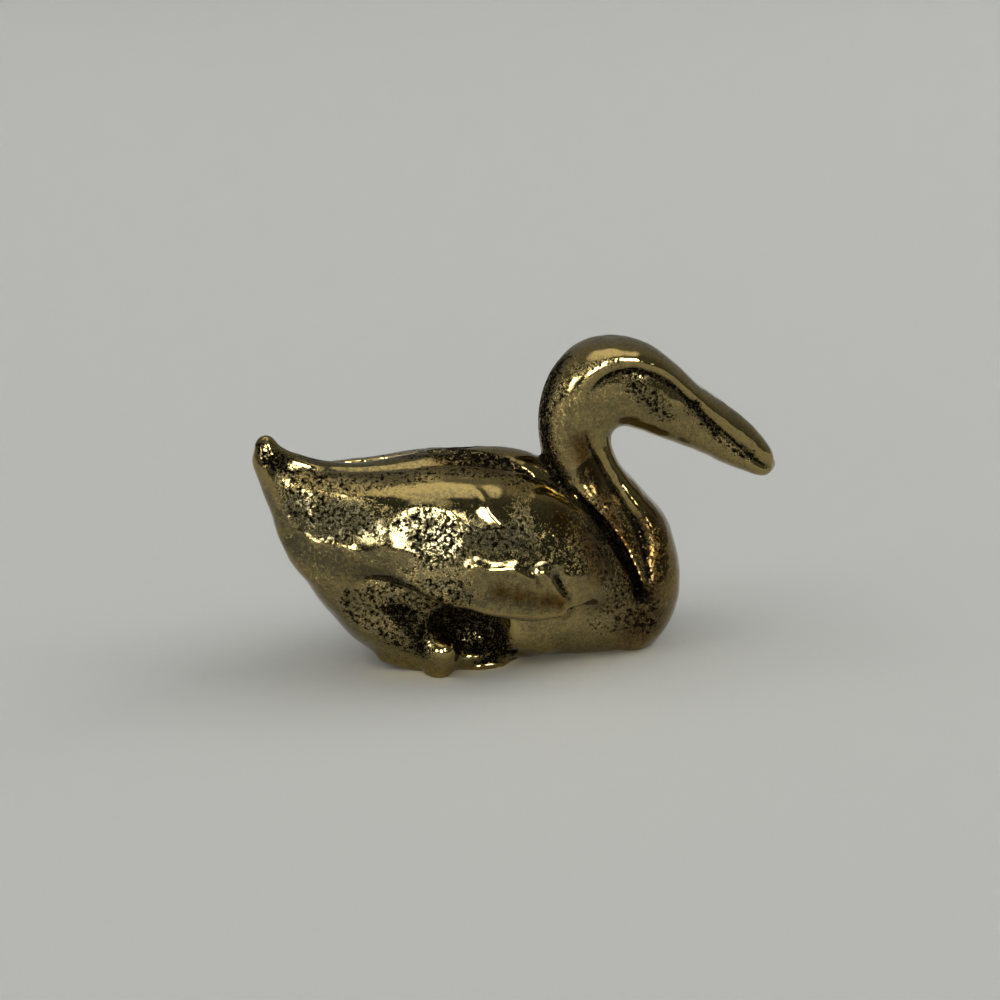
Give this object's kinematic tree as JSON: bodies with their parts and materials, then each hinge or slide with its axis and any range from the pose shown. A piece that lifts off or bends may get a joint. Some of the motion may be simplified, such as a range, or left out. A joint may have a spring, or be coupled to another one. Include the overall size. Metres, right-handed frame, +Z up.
{
  "type": "duck figurine",
  "caption": "Small cast brass duck resting on its flat belly, with a curved neck, a long bill and wings brazed to its flanks.",
  "frame": {"origin": "centre of the bounding box at the level that the duck rests on", "axes": "+X to the bill, +Z up, +Y to the duck's left side; the plane y = 0 is its plane of symmetry"},
  "size_m": [0.0715, 0.0254, 0.0423],
  "materials": {
    "body_brass": "worn polish with dark patina in the hollows",
    "head_brass": "worn polish with dark patina in the flutes",
    "wing_brass": "worn polish, pitted along the back",
    "foot_brass": "worn, mostly dark patina"
  },
  "bodies": {
    "root": {"body": "body_brass", "head_and_neck": "head_brass", "right_wing": "wing_brass", "left_wing": "wing_brass", "right_foot": "foot_brass", "left_foot": "foot_brass"}
  },
  "joints": []
}
